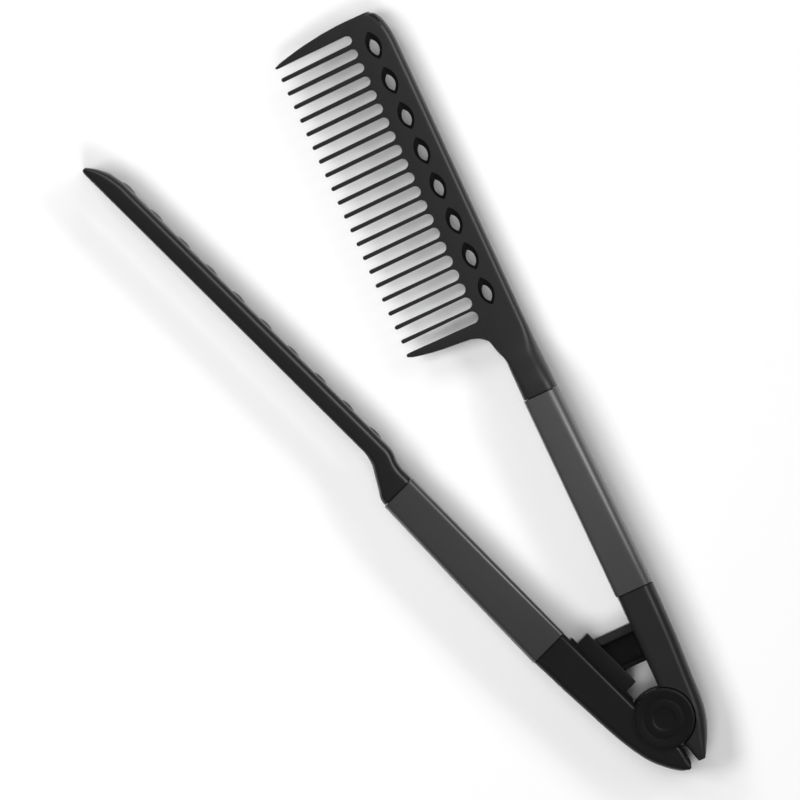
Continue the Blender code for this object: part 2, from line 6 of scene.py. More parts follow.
import bmesh
import bpy
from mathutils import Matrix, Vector


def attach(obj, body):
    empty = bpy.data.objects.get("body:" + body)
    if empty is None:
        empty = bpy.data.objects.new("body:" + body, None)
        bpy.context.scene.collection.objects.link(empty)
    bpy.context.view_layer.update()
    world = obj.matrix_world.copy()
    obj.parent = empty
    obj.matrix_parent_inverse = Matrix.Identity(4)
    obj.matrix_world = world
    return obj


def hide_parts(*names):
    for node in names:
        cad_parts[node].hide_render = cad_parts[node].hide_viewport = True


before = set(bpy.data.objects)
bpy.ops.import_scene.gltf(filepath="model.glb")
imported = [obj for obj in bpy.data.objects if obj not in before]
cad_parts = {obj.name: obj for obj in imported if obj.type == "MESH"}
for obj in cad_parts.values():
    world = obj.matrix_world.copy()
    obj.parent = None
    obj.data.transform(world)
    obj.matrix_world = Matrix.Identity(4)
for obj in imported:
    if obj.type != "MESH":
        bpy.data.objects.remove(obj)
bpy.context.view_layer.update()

# Camera
# It looks straight down with a long lens from 3 m, so that the sides of the handles stay hidden, as in
# the photo. The V lies turned in the picture, with the hinge at the lower right.
PICTURE_TURN = radians(-34.9)
PICTURE_CENTRE = Vector((-0.0102, 0.1234, 0.010))
PICTURE_WIDTH = 0.240
CAMERA_HEIGHT = 3.0
SENSOR_WIDTH_MM = 36.0

bpy.ops.object.camera_add(
    location=PICTURE_CENTRE + Vector((0, 0, CAMERA_HEIGHT)), rotation=(0, 0, PICTURE_TURN)
)
camera = bpy.context.object
camera.name = "camera"
camera.data.sensor_width = SENSOR_WIDTH_MM
camera.data.lens = SENSOR_WIDTH_MM * CAMERA_HEIGHT / PICTURE_WIDTH
bpy.context.scene.camera = camera
bpy.context.scene.view_settings.view_transform = "Standard"

# Floor and light
# A plain pale studio table under four soft panels, overhead and round the left, so that the shadows
# fall to the right. Five narrow strips at the right and the upper right draw the bright lines on the
# rounded edges.
PICTURE_RIGHT = Vector((cos(PICTURE_TURN), sin(PICTURE_TURN), 0))
PICTURE_UP = Vector((-sin(PICTURE_TURN), cos(PICTURE_TURN), 0))
FLOOR_SIZE = 6.0
FLOOR_DROP = 0.0001
FLOOR_GREY = 0.86
FLOOR_ROUGHNESS = 0.9
FLOOR_GLOSS = 0.1
ROOM_GLOW = 0.04
PANEL_DISTANCE = 1.0
PANEL_SIZE = (0.3, 0.3)
STRIP_SIZE = (0.4, 0.1)
# Columns: name, degrees off the vertical, degrees round from picture right, size, watts, seen in gloss
LIGHTS = (
    ("left_panel", 27, 180, PANEL_SIZE, 4.2, False),
    ("lower_panel", 20, 270, PANEL_SIZE, 3.1, False),
    ("upper_left_panel", 42, 135, PANEL_SIZE, 2.1, False),
    ("top_panel", 0, 0, PANEL_SIZE, 1.6, False),
    ("far_strip", 48, 38, STRIP_SIZE, 0.6, True),
    ("upper_strip", 40, 45, STRIP_SIZE, 0.7, True),
    ("right_strip", 48, 0, STRIP_SIZE, 0.3, True),
    ("middle_strip", 42, 20, STRIP_SIZE, 0.8, True),
    ("high_strip", 50, 80, STRIP_SIZE, 0.8, True),
)


def stand_light(name, tilt, bearing, size, watts, in_gloss):
    """A rectangular light that faces the comb. One that isn't seen in gloss lights the colour alone."""
    level = sin(radians(tilt))
    across = PICTURE_RIGHT * cos(radians(bearing)) + PICTURE_UP * sin(radians(bearing))
    direction = across * level + Vector((0, 0, cos(radians(tilt))))
    turn = direction.to_track_quat("Z", "Y").to_euler()
    bpy.ops.object.light_add(
        type="AREA", location=PICTURE_CENTRE + direction * PANEL_DISTANCE, rotation=turn
    )
    light = bpy.context.object
    light.name = name
    light.data.shape = "RECTANGLE"
    light.data.size, light.data.size_y = size
    light.data.energy = watts
    light.visible_camera = False
    light.visible_glossy = in_gloss


bpy.ops.mesh.primitive_plane_add(size=FLOOR_SIZE, location=(0, 0, -FLOOR_DROP))
floor = bpy.context.object
floor.name = "floor"
floor_paint = bpy.data.materials.new("pale_floor")
floor_paint.use_nodes = True
floor_shader = floor_paint.node_tree.nodes["Principled BSDF"]
floor_shader.inputs["Base Color"].default_value = (FLOOR_GREY, FLOOR_GREY, FLOOR_GREY, 1)
floor_shader.inputs["Roughness"].default_value = FLOOR_ROUGHNESS
floor_shader.inputs["Specular IOR Level"].default_value = FLOOR_GLOSS
floor.data.materials.append(floor_paint)

room = bpy.data.worlds.new("room")
room.use_nodes = True
room.node_tree.nodes["Background"].inputs["Color"].default_value = (1, 1, 1, 1)
room.node_tree.nodes["Background"].inputs["Strength"].default_value = ROOM_GLOW
bpy.context.scene.world = room
for light_row in LIGHTS:
    stand_light(*light_row)

# Comb head
# One moulding of black plastic: a flat spine with a rounded back that swells into the neck, and a
# tang that goes into the grip. The teeth and the eyes are added to it further down.
# Each arm is made straight, along Y, and turned into the V when it is done. A side of 1 is the comb's.
COMB_SIDE = 1
GRIP_DEPTH = 0.020
MID_DEPTH = GRIP_DEPTH / 2
SEAM = 0.0003
BODY_HALF_DEPTH = MID_DEPTH - SEAM
SPINE_HALF_DEPTH = 0.0026
HANDLE_INNER_RADIUS = 0.002
HANDLE_OUTER_RADIUS = 0.004
SLEEVE_WALL = 0.0012
TANG_END = 0.072
SMALLEST_RADIUS = 0.0003
FULLEST_CORNER = 0.96
CORNER_STEPS = 8
PLANE_HALF = 0.5
UNIT_CORNER = 0.25
SECTION_STEP = 0.0013
STRAIGHT_STRETCH = 0.010
SEAM_ROUND = 0.00012
EDGE_STEPS = 2
SPINE_INNER = -0.0003
SPINE_EDGE_RADIUS = 0.0004
SPINE_END_ROUND = 0.0005

# A section across a piece: its place along the piece, its inner and outer edge, its half depth from
# the mid depth, and the radii of its corners at the two edges
Section = namedtuple("Section", "along inner outer half_depth inner_radius outer_radius")


def section(along, inner, outer, half_depth, inner_radius, outer_radius):
    """A section whose corner radii are no larger than it has room for."""
    most = min(half_depth, (outer - inner) / 2) * FULLEST_CORNER
    return Section(along, inner, outer, half_depth, min(inner_radius, most), min(outer_radius, most))


def inset(part, depth):
    """The same section, drawn in by depth all round."""
    radii = [max(radius - depth, SMALLEST_RADIUS) for radius in (part.inner_radius, part.outer_radius)]
    return section(part.along, part.inner + depth, part.outer - depth, part.half_depth - depth, *radii)


def soft_end(part, inward, radius):
    """The sections that round off an end, from its full size to its flat face."""
    rows = []
    for step in range(EDGE_STEPS + 1):
        angle = step / EDGE_STEPS * pi / 2
        row = inset(part, radius * (1 - cos(angle)))
        rows.append(row._replace(along=part.along + inward * radius * (1 - sin(angle))))
    return rows


def curved(parts):
    """More sections between the given ones, on a smooth curve. Long stretches stay straight."""
    reaches = [last.along - first.along for first, last in zip(parts, parts[1:])]
    slopes = [
        [(b - a) / reach for a, b in zip(first[1:], last[1:])]
        for first, last, reach in zip(parts, parts[1:], reaches)
    ]
    turns = [slopes[0]]
    for before, after, upper, lower in zip(slopes, slopes[1:], reaches, reaches[1:]):
        if abs(upper) > STRAIGHT_STRETCH:
            turns.append(before)
        elif abs(lower) > STRAIGHT_STRETCH:
            turns.append(after)
        else:
            turns.append([(a * lower + b * upper) / (upper + lower) for a, b in zip(before, after)])
    turns.append(slopes[-1])
    rows = []
    for number, reach in enumerate(reaches):
        first, last = parts[number], parts[number + 1]
        count = 1 if abs(reach) > STRAIGHT_STRETCH else max(1, ceil(abs(reach) / SECTION_STEP))
        for step in range(count):
            t = step / count
            start, bend = 2 * t**3 - 3 * t**2 + 1, t**3 - 2 * t**2 + t
            end, curl = 3 * t**2 - 2 * t**3, t**3 - t**2
            values = [
                a * start + b * end + reach * (bend * leaving + curl * arriving)
                for a, b, leaving, arriving in zip(first[1:], last[1:], turns[number], turns[number + 1])
            ]
            rows.append(section(first.along + t * reach, *values))
    return rows + [parts[-1]]


def select_points(test):
    """Selects the points of the edited mesh that pass the test, and nothing else."""
    mesh = bpy.context.edit_object.data
    edited = bmesh.from_edit_mesh(mesh)
    for point in edited.verts:
        point.select = test(point)
    edited.select_flush_mode()
    bmesh.update_edit_mesh(mesh, loop_triangles=False, destructive=False)


def corner_points(across_axis, middle):
    """The selected points, sorted into the four corners of the section that they make."""
    corners = {(low, up): set() for low in (False, True) for up in (-1, 1)}
    for point in bmesh.from_edit_mesh(bpy.context.edit_object.data).verts:
        if point.select:
            up = 1 if point.co.z > MID_DEPTH else -1
            corners[point.co[across_axis] < middle, up].add(point.index)
    return corners


def loft(name, parts, side=COMB_SIDE, run_axis=1, corner_steps=CORNER_STEPS):
    """A closed piece through its sections: a rounded plane, extruded and refitted section by section."""
    across_axis = 1 - run_axis

    def corner(part, edge, up):
        """The place of one of a section's corners."""
        spot = Vector((0, 0, MID_DEPTH + up * part.half_depth))
        spot[across_axis] = side * edge
        spot[run_axis] = part.along
        return spot

    upright = (pi / 2, 0, 0) if run_axis == 1 else (0, pi / 2, 0)
    bpy.ops.object.select_all(action="DESELECT")
    bpy.ops.mesh.primitive_plane_add(
        size=2 * PLANE_HALF, location=corner(parts[0], 0, 0), rotation=upright
    )
    piece = bpy.context.object
    piece.name = name
    bpy.ops.object.transform_apply(location=True, rotation=True, scale=True)
    bpy.ops.object.mode_set(mode="EDIT")
    bpy.ops.mesh.select_mode(type="VERT")
    bpy.ops.mesh.bevel(offset=UNIT_CORNER, segments=corner_steps, affect="VERTICES")
    before = Section(parts[0].along, -PLANE_HALF, PLANE_HALF, PLANE_HALF, UNIT_CORNER, UNIT_CORNER)
    for number, after in enumerate(parts):
        if number:
            step = [0, 0, 0]
            step[run_axis] = after.along - before.along
            bpy.ops.mesh.extrude_region_move(TRANSFORM_OT_translate={"value": step})
        before = before._replace(along=after.along)
        middle = side * (before.inner + before.outer) / 2
        corners = corner_points(across_axis, middle)
        for old_edge, new_edge, old_radius, new_radius in (
            (before.inner, after.inner, before.inner_radius, after.inner_radius),
            (before.outer, after.outer, before.outer_radius, after.outer_radius),
        ):
            for up in (-1, 1):
                old, new = corner(before, old_edge, up), corner(after, new_edge, up)
                chosen = corners[side * old_edge < middle, up]
                select_points(lambda point: point.index in chosen)
                scale = [new_radius / old_radius] * 3
                scale[run_axis] = 1
                bpy.ops.transform.resize(value=scale, center_override=old)
                bpy.ops.transform.translate(value=new - old)
        ring = set().union(*corners.values())
        select_points(lambda point: point.index in ring)
        before = after
    bpy.ops.mesh.select_all(action="SELECT")
    bpy.ops.mesh.normals_make_consistent(inside=False)
    bpy.ops.object.mode_set(mode="OBJECT")
    return piece


def grip_at(parts, along):
    """A grip's section at any place along it, worked out from its rows."""
    upper = next((i for i in range(1, len(parts)) if along <= parts[i][0]), len(parts) - 1)
    low, high = parts[upper - 1], parts[upper]
    share = (along - low[0]) / (high[0] - low[0])
    inner, outer, *radii = (a + share * (b - a) for a, b in zip(low[1:], high[1:]))
    return section(along, inner, outer, MID_DEPTH, *radii)


def tang(grip_rows, start):
    """The sections of the tang that an arm's half has inside the grip."""
    end = TANG_END + SEAM / 2 if start > TANG_END else TANG_END - SEAM / 2
    return [inset(grip_at(grip_rows, along), SLEEVE_WALL + SEAM) for along in (start, end)]


# Columns: along, inner edge, outer edge, inner corner radius, outer corner radius
COMB_GRIP_ROWS = (
    (0.0389, 0.0022, 0.0141, 0.0012, 0.0034),
    (0.0700, 0.0019, 0.0135, 0.0012, 0.0038),
    (0.1036, 0.0015, 0.0128, 0.0012, 0.0042),
)
# Columns: along, inner edge, outer edge, half depth
SPINE_ROWS = (
    (0.2296, SPINE_INNER, 0.0080, SPINE_HALF_DEPTH),
    (0.2284, SPINE_INNER, 0.0092, SPINE_HALF_DEPTH),
    (0.2266, SPINE_INNER, 0.0104, SPINE_HALF_DEPTH),
    (0.2240, SPINE_INNER, 0.0112, SPINE_HALF_DEPTH),
    (0.2176, SPINE_INNER, 0.0119, SPINE_HALF_DEPTH),
    (0.2050, SPINE_INNER, 0.0120, SPINE_HALF_DEPTH),
    (0.1290, SPINE_INNER, 0.0121, SPINE_HALF_DEPTH),
    (0.1240, 0.0004, 0.0122, 0.0028),
    (0.1205, 0.0008, 0.0122, 0.0034),
    (0.1170, 0.0017, 0.0123, 0.0046),
    (0.1135, 0.0017, 0.0124, 0.0064),
    (0.1100, 0.0017, 0.0125, 0.0082),
    (0.1070, 0.0017, 0.0125, 0.0093),
    (0.1039, 0.0017, 0.0126, BODY_HALF_DEPTH),
)


def spine_section(along, inner, outer, half_depth):
    """A section across the spine, or across the neck, where the inner edge is rounder."""
    swelling = (half_depth - SPINE_HALF_DEPTH) / (BODY_HALF_DEPTH - SPINE_HALF_DEPTH)
    inner_radius = SPINE_EDGE_RADIUS + swelling * (HANDLE_INNER_RADIUS - SPINE_EDGE_RADIUS)
    return section(along, inner, outer, half_depth, inner_radius, HANDLE_OUTER_RADIUS)


spine_parts = curved([spine_section(*row) for row in SPINE_ROWS])
comb_head = loft(
    "comb_head_fine",
    soft_end(spine_parts[0], -1, SPINE_END_ROUND)[::-1]
    + spine_parts[1:-1]
    + soft_end(spine_parts[-1], 1, SEAM_ROUND)
    + tang(COMB_GRIP_ROWS, spine_parts[-1].along),
)

# Teeth
# Twenty thin teeth and a thick guard tooth at each end of the row, moulded in one with the spine. Each
# is a rounded blade that thins to its tip, and the slots between them end in half circles.
THIN_TEETH = 20
# From the first tooth on, the step to the next one grows a little
FIRST_TOOTH = 0.22195
TOOTH_PITCH = 0.004479
PITCH_GROWTH = 0.00000426
TOOTH_TIP = -0.02455
TIP_HALF_WIDTH = 0.00065
TIP_ROUND = 0.0006
TIP_SWEEP = radians(80)
FIRST_ROOT_HALF = 0.00072
LAST_ROOT_HALF = 0.00046
FIRST_LEAN = 0.00055
LAST_LEAN = 0.0002
ROOT_HALF_DEPTH = 0.00259
TIP_HALF_DEPTH = 0.0008
TOOTH_EDGE_RADIUS = 0.0005
TOOTH_CORNER_STEPS = 3
INSIDE_SPINE = 0.0022
FLARE_GAP = 0.00002
SLOT_STEPS = 6
TIP_STEPS = 3
UPPER_GUARD_ROOT = 0.2256
UPPER_GUARD_FREE = 0.2296
UPPER_GUARD_END = 0.0062
LOWER_GUARD_ROOT = 0.1312
# Columns: out, free edge, slot edge
UPPER_GUARD_ROWS = (
    (-0.0030, 0.22950, 0.22555),
    (-0.0055, 0.22932, 0.22550),
    (-0.0080, 0.22910, 0.22545),
    (-0.0110, 0.22872, 0.22539),
    (-0.0140, 0.22830, 0.22532),
    (-0.0170, 0.22776, 0.22525),
    (-0.0200, 0.22710, 0.22518),
    (-0.0220, 0.22664, 0.22512),
    (-0.0232, 0.22630, 0.22508),
    (-0.0241, 0.22592, 0.22506),
)
# Columns: out, free edge
LOWER_GUARD_ROOT_ROWS = (
    (0.0030, 0.1160),
    (0.0015, 0.1181),
    (0.0008, 0.1196),
    (0.0004, 0.1210),
    (SPINE_INNER, 0.1238),
)
# How fast the lower guard's free edge leaves the neck: 1 would be a straight slope
BEND_POWER = 0.62
# Columns: out, free edge, slot edge
LOWER_GUARD_ROWS = (
    (-0.0031, 0.12650, 0.13122),
    (-0.0050, 0.12720, 0.13123),
    (-0.0080, 0.12750, 0.13124),
    (-0.0110, 0.12773, 0.13125),
    (-0.0140, 0.12800, 0.13127),
    (-0.0170, 0.12840, 0.13128),
    (-0.0200, 0.12890, 0.13130),
    (-0.0222, 0.12934, 0.13130),
    (-0.0234, 0.12968, 0.13128),
    (-0.0242, 0.13005, 0.13122),
)


def pick(piece):
    """Makes a piece the only one selected, and the active one."""
    bpy.ops.object.select_all(action="DESELECT")
    piece.select_set(True)
    bpy.context.view_layer.objects.active = piece


def combine(piece, tool, operation):
    """Adds the tool to a piece, or cuts it out of it."""
    pick(piece)
    bpy.ops.object.modifier_add(type="BOOLEAN")
    step = piece.modifiers[-1]
    step.operation = operation
    step.solver = "EXACT"
    step.object = tool
    bpy.ops.object.modifier_apply(modifier=step.name)
    bpy.data.objects.remove(tool, do_unlink=True)


def joined(pieces):
    """One object from several."""
    pick(pieces[0])
    for piece in pieces[1:]:
        piece.select_set(True)
    bpy.ops.object.join()
    return pieces[0]


def tooth_section(out, low, high):
    """A section across a tooth, thinner towards the tip."""
    share = min(1, max(0, (out - TOOTH_TIP) / (SPINE_INNER - TOOTH_TIP)))
    half_depth = TIP_HALF_DEPTH + sin(share * pi / 2) * (ROOT_HALF_DEPTH - TIP_HALF_DEPTH)
    return section(out, low, high, half_depth, TOOTH_EDGE_RADIUS, TOOTH_EDGE_RADIUS)


def slot_edge(slot, out):
    """How far the edge of a round-ended slot lies from its middle at a distance from the spine."""
    low, high = slot
    radius = (high - low) / 2
    depth = max(0, out - (SPINE_INNER - radius))
    return sqrt(max(0, radius**2 - depth**2))


def tooth_tip(out, low, high):
    """Rounds a tooth off from its last section."""
    rows = []
    middle, half = (low + high) / 2, (high - low) / 2
    for step in range(1, TIP_STEPS + 1):
        angle = step / TIP_STEPS * TIP_SWEEP
        reach, spread = TIP_ROUND * sin(angle), half * cos(angle)
        rows.append(tooth_section(out - reach, middle - spread, middle + spread))
    return rows


def root_rows(lower_slot, upper_slot):
    """The flared root of a tooth between two slots, down to where its straight part starts."""
    rows = []
    radius = (upper_slot[1] - upper_slot[0]) / 2
    for step in range(SLOT_STEPS + 1):
        out = SPINE_INNER - radius * (1 - cos(step / SLOT_STEPS * pi / 2))
        low = sum(lower_slot) / 2 + max(slot_edge(lower_slot, out), FLARE_GAP)
        high = sum(upper_slot) / 2 - max(slot_edge(upper_slot, out), FLARE_GAP)
        rows.append((out, low, high))
    return [(INSIDE_SPINE, rows[0][1], rows[0][2])] + rows


centres = [FIRST_TOOTH - n * TOOTH_PITCH - n * n * PITCH_GROWTH for n in range(THIN_TEETH)]
shares = [n / (THIN_TEETH - 1) for n in range(THIN_TEETH)]
halves = [FIRST_ROOT_HALF + share * (LAST_ROOT_HALF - FIRST_ROOT_HALF) for share in shares]
tops = [centre + half for centre, half in zip(centres, halves)]
bottoms = [centre - half for centre, half in zip(centres, halves)]
slots = list(zip(tops + [LOWER_GUARD_ROOT], [UPPER_GUARD_ROOT] + bottoms))

teeth = []
for n in range(THIN_TEETH):
    tip = centres[n] - FIRST_LEAN - shares[n] * (LAST_LEAN - FIRST_LEAN)
    last = (TOOTH_TIP + TIP_ROUND, tip - TIP_HALF_WIDTH, tip + TIP_HALF_WIDTH)
    rows = [tooth_section(*row) for row in root_rows(slots[n + 1], slots[n]) + [last]] + tooth_tip(*last)
    teeth.append(loft(f"tooth_{n + 1}", rows, run_axis=0, corner_steps=TOOTH_CORNER_STEPS))

# The guard teeth follow their own free edges, and the round ends of the slots beside them
upper_middle, lower_middle = sum(slots[0]) / 2, sum(slots[-1]) / 2
upper_rows = [(UPPER_GUARD_END, upper_middle + FLARE_GAP, UPPER_GUARD_FREE)]
for out, _, _ in root_rows(slots[1], slots[0])[1:]:
    free = UPPER_GUARD_FREE + (UPPER_GUARD_ROWS[0][1] - UPPER_GUARD_FREE) * out / UPPER_GUARD_ROWS[0][0]
    upper_rows.append((out, upper_middle + max(slot_edge(slots[0], out), FLARE_GAP), free))
upper_rows += [(out, slot_side, free) for out, free, slot_side in UPPER_GUARD_ROWS]
lower_rows = [(out, free, lower_middle - FLARE_GAP) for out, free in LOWER_GUARD_ROOT_ROWS]
(bend_out, bend_free), (guard_out, guard_free, _) = LOWER_GUARD_ROOT_ROWS[-1], LOWER_GUARD_ROWS[0]
for out, _, _ in root_rows(slots[-1], slots[-1])[2:]:
    share = (bend_out - out) / (bend_out - guard_out)
    free = bend_free + (guard_free - bend_free) * share**BEND_POWER
    lower_rows.append((out, free, lower_middle - slot_edge(slots[-1], out)))
lower_rows += LOWER_GUARD_ROWS
for name, guard_rows in (("upper_guard", upper_rows), ("lower_guard", lower_rows)):
    rows = [tooth_section(*row) for row in guard_rows] + tooth_tip(*guard_rows[-1])
    teeth.append(loft(name, rows, run_axis=0, corner_steps=TOOTH_CORNER_STEPS))
combine(comb_head, joined(teeth), "UNION")

# Eyes
# A row of pointed oval holes through the spine, each with a flared recess on both faces. The walls of
# the recesses get a darker, duller black, which is painted shade.
EYE_COUNT = 8
EYE_PITCH = 0.01157
FIRST_EYE = 0.21895
EYE_OUT = 0.005
RECESS_LENGTH = 0.009
RECESS_WIDTH = 0.0045
RECESS_DEPTH = 0.0011
RECESS_SHIFT = 0.0006
EYE_SHARE = 0.6
EYE_POINTS = 72
# A face is level where its normal is this near the vertical
LEVEL_FACE = 0.98
# The recess walls' plastic, a darker black that paints their shade, is the second in the comb head's list
RECESS_SHADE_LOOK = 1
OVERCUT = 0.0006


def copied(piece, step):
    """A copy of a piece, with its own mesh, a step away."""
    pick(piece)
    bpy.ops.object.duplicate(linked=False)
    bpy.ops.transform.translate(value=step)
    bpy.ops.object.transform_apply(location=True, rotation=True, scale=True)
    return bpy.context.object


def eye_cutter(along):
    """Two round bars that cross in a pointed oval, drawn in to the eye and out again."""
    half_length, half_width = RECESS_LENGTH / 2, RECESS_WIDTH / 2
    radius = (half_length**2 + half_width**2) / (2 * half_width)
    level = MID_DEPTH + SPINE_HALF_DEPTH - RECESS_DEPTH / 2
    bars = []
    for sign in (1, -1):
        bpy.ops.object.select_all(action="DESELECT")
        bpy.ops.mesh.primitive_cylinder_add(
            vertices=EYE_POINTS,
            radius=radius,
            depth=RECESS_DEPTH,
            location=(EYE_OUT + sign * (radius - half_width), along + RECESS_SHIFT, level),
        )
        bpy.ops.object.transform_apply(location=True, rotation=True, scale=True)
        bars.append(bpy.context.object)
    combine(bars[0], bars[1], "INTERSECT")
    eye_centre = (EYE_OUT, along - RECESS_SHIFT * EYE_SHARE / (1 - EYE_SHARE), MID_DEPTH)
    bpy.ops.object.mode_set(mode="EDIT")
    bpy.ops.mesh.select_mode(type="VERT")
    select_points(lambda point: point.co.z > level)
    bpy.ops.mesh.extrude_region_move(TRANSFORM_OT_translate={"value": (0, 0, OVERCUT)})
    select_points(lambda point: point.co.z < level)
    for drop, scale in (
        (0, EYE_SHARE),
        (2 * (SPINE_HALF_DEPTH - RECESS_DEPTH), 1),
        (RECESS_DEPTH, 1 / EYE_SHARE),
        (OVERCUT, 1),
    ):
        if drop:
            bpy.ops.mesh.extrude_region_move(TRANSFORM_OT_translate={"value": (0, 0, -drop)})
        bpy.ops.transform.resize(value=(scale, scale, 1), center_override=eye_centre)
    bpy.ops.mesh.select_all(action="SELECT")
    bpy.ops.mesh.normals_make_consistent(inside=False)
    bpy.ops.object.mode_set(mode="OBJECT")
    return bars[0]


eye = eye_cutter(FIRST_EYE)
copies = [copied(eye, (0, -number * EYE_PITCH, 0)) for number in range(1, EYE_COUNT)]
combine(comb_head, joined([eye] + copies), "DIFFERENCE")
last_eye = FIRST_EYE - (EYE_COUNT - 1) * EYE_PITCH
# The recess walls are marked for the darker black that paints their shade
for face in comb_head.data.polygons:
    beside_eyes = abs(face.center.x - EYE_OUT) < RECESS_WIDTH
    along_eyes = last_eye - RECESS_LENGTH < face.center.y < FIRST_EYE + RECESS_LENGTH
    if beside_eyes and along_eyes and abs(face.normal.z) < LEVEL_FACE:
        face.material_index = RECESS_SHADE_LOOK

# With its teeth and eyes done, the comb head gets its plastic and is turned into place
ARM_TURN = radians(10.3)
SMOOTH_ANGLE = radians(32)
CLOUD_STOPS = (0.3, 0.7)
COOL_TINT = 1.01
SHEEN_SPREAD = 0.01
GRAIN_HEIGHT = 0.00005
# Columns: scale, detail
CLOUD_NOISE = (140, 5)
SHEEN_NOISE = (420, 3)
GRAIN_NOISE = (3800, 2)


def moulded_plastic(name, grey, gloss, roughness, grain=0.1, mottle=0.03, ior=1.5):
    """Moulded plastic with a fine eroded grain, a little cloudiness and an uneven sheen."""
    look = bpy.data.materials.new(name)
    look.use_nodes = True
    nodes, links = look.node_tree.nodes, look.node_tree.links
    shader = nodes["Principled BSDF"]
    shader.inputs["Specular IOR Level"].default_value = gloss
    shader.inputs["IOR"].default_value = ior
    place = nodes.new("ShaderNodeTexCoord")

    def noise(scale, detail):
        """A cloudy pattern that stays on the piece."""
        made = nodes.new("ShaderNodeTexNoise")
        made.inputs["Scale"].default_value = scale
        made.inputs["Detail"].default_value = detail
        links.new(place.outputs["Object"], made.inputs["Vector"])
        return made.outputs["Fac"]

    cloud = nodes.new("ShaderNodeValToRGB")
    levels = (grey * (1 - mottle), grey * (1 + mottle))
    for stop, level, position in zip(cloud.color_ramp.elements, levels, CLOUD_STOPS):
        stop.color = (level, level, level * COOL_TINT, 1)
        stop.position = position
    links.new(noise(*CLOUD_NOISE), cloud.inputs["Fac"])
    links.new(cloud.outputs["Color"], shader.inputs["Base Color"])
    sheen = nodes.new("ShaderNodeMapRange")
    sheen.inputs["To Min"].default_value = roughness - SHEEN_SPREAD
    sheen.inputs["To Max"].default_value = roughness + SHEEN_SPREAD
    links.new(noise(*SHEEN_NOISE), sheen.inputs["Value"])
    links.new(sheen.outputs["Result"], shader.inputs["Roughness"])
    bump = nodes.new("ShaderNodeBump")
    bump.inputs["Strength"].default_value = grain
    bump.inputs["Distance"].default_value = GRAIN_HEIGHT
    links.new(noise(*GRAIN_NOISE), bump.inputs["Height"])
    links.new(bump.outputs["Normal"], shader.inputs["Normal"])
    return look


def finish_piece(piece, side, look, node, body):
    """Turns a straight arm's piece into the V, gives it its look, and puts it in the node's place.

    A piece on the hinge axis belongs to neither side, and isn't turned.
    """
    pick(piece)
    piece.rotation_euler.z = -side * ARM_TURN
    bpy.ops.object.transform_apply(location=True, rotation=True, scale=True)
    bpy.ops.object.shade_smooth_by_angle(angle=SMOOTH_ANGLE)
    piece.data.materials.append(look)
    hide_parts(node)
    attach(piece, body)


comb_black = moulded_plastic("comb_black", grey=0.0165, gloss=0.75, roughness=0.4)
# A darker, duller black that paints shade: on the eyes' recess walls, the stop post and the post guide
painted_shade_black = moulded_plastic("painted_shade_black", grey=0.0055, gloss=0.3, roughness=0.35)
finish_piece(comb_head, COMB_SIDE, comb_black, "comb_head", "comb_arm")
# The recess walls get the darker black as painted shade
comb_head.data.materials.append(painted_shade_black)

# Comb grip
# A thin grey sleeve pushed over the tangs of the comb head and the comb knuckle, which meet inside it.
# Its back has broad round corners and its inner side tight ones.
WELD_DISTANCE = 0.000002


def sleeve(name, grip_rows, side):
    """The outer skin from the lower end to the upper, and back down through the tunnel."""
    low, middle, high = (grip_at(grip_rows, row[0]) for row in grip_rows)
    mouth = inset(low, SLEEVE_WALL)
    skin = soft_end(low, 1, SEAM_ROUND)[::-1] + [middle] + soft_end(high, -1, SEAM_ROUND)
    tunnel = [inset(high, SLEEVE_WALL), inset(middle, SLEEVE_WALL), mouth]
    piece = loft(name, [mouth] + skin + tunnel, side)
    bpy.ops.object.mode_set(mode="EDIT")
    bpy.ops.mesh.select_mode(type="FACE")
    # It starts and ends at the same ring, so its two end faces go, and the rings are merged
    edited = bmesh.from_edit_mesh(piece.data)
    for face in edited.faces:
        face.select_set(len(face.verts) > 4)
    bmesh.update_edit_mesh(piece.data)
    bpy.ops.mesh.delete(type="ONLY_FACE")
    bpy.ops.mesh.select_all(action="SELECT")
    bpy.ops.mesh.remove_doubles(threshold=WELD_DISTANCE)
    bpy.ops.mesh.normals_make_consistent(inside=False)
    bpy.ops.object.mode_set(mode="OBJECT")
    return piece


comb_grip = sleeve("comb_grip_fine", COMB_GRIP_ROWS, COMB_SIDE)
comb_grey = moulded_plastic("comb_grey", grey=0.046, gloss=1.0, roughness=0.38, ior=1.75)
finish_piece(comb_grip, COMB_SIDE, comb_grey, "comb_grip", "comb_arm")

# Comb knuckle
# The comb arm's hinge end, one black moulding: a handle that curves in to its tail, with the middle
# knuckle of the hinge, which the jaw arm's two ears hold.
EDGE_ROUND = 0.0003
KNUCKLE_HALF_DEPTH = 0.0032
EAR_RADIUS = 0.0093
BARREL_RADIUS = 0.0098
PIN_BORE = 0.0033
DISC_POINTS = 96
DISC_EDGE_STEPS = 3
SHARP_ANGLE = radians(50)
# Columns: along, inner edge, outer edge
COMB_KNUCKLE_ROWS = (
    (0.0386, 0.0026, 0.0141),
    (0.0232, 0.0026, 0.0139),
    (0.0160, 0.0026, 0.0136),
    (0.0080, 0.0026, 0.0132),
    (0.0016, 0.0026, 0.0129),
    (-0.0020, 0.0026, 0.0125),
    (-0.0056, 0.0026, 0.0116),
    (-0.0092, 0.0024, 0.0102),
    (-0.0128, 0.0035, 0.0082),
    (-0.0146, 0.0039, 0.0072),
    (-0.0158, 0.0042, 0.0066),
)


def knuckle(name, rows, grip_rows, side, outer_radius):
    """A handle from its tang in the grip down to its tail."""
    radii = (BODY_HALF_DEPTH, HANDLE_INNER_RADIUS, outer_radius)
    parts = curved([section(*row, *radii) for row in rows])
    shape = tang(grip_rows, parts[0].along)[::-1] + soft_end(parts[0], -1, SEAM_ROUND)[::-1]
    return loft(name, shape + parts[1:-1] + soft_end(parts[-1], 1, EDGE_ROUND), side)


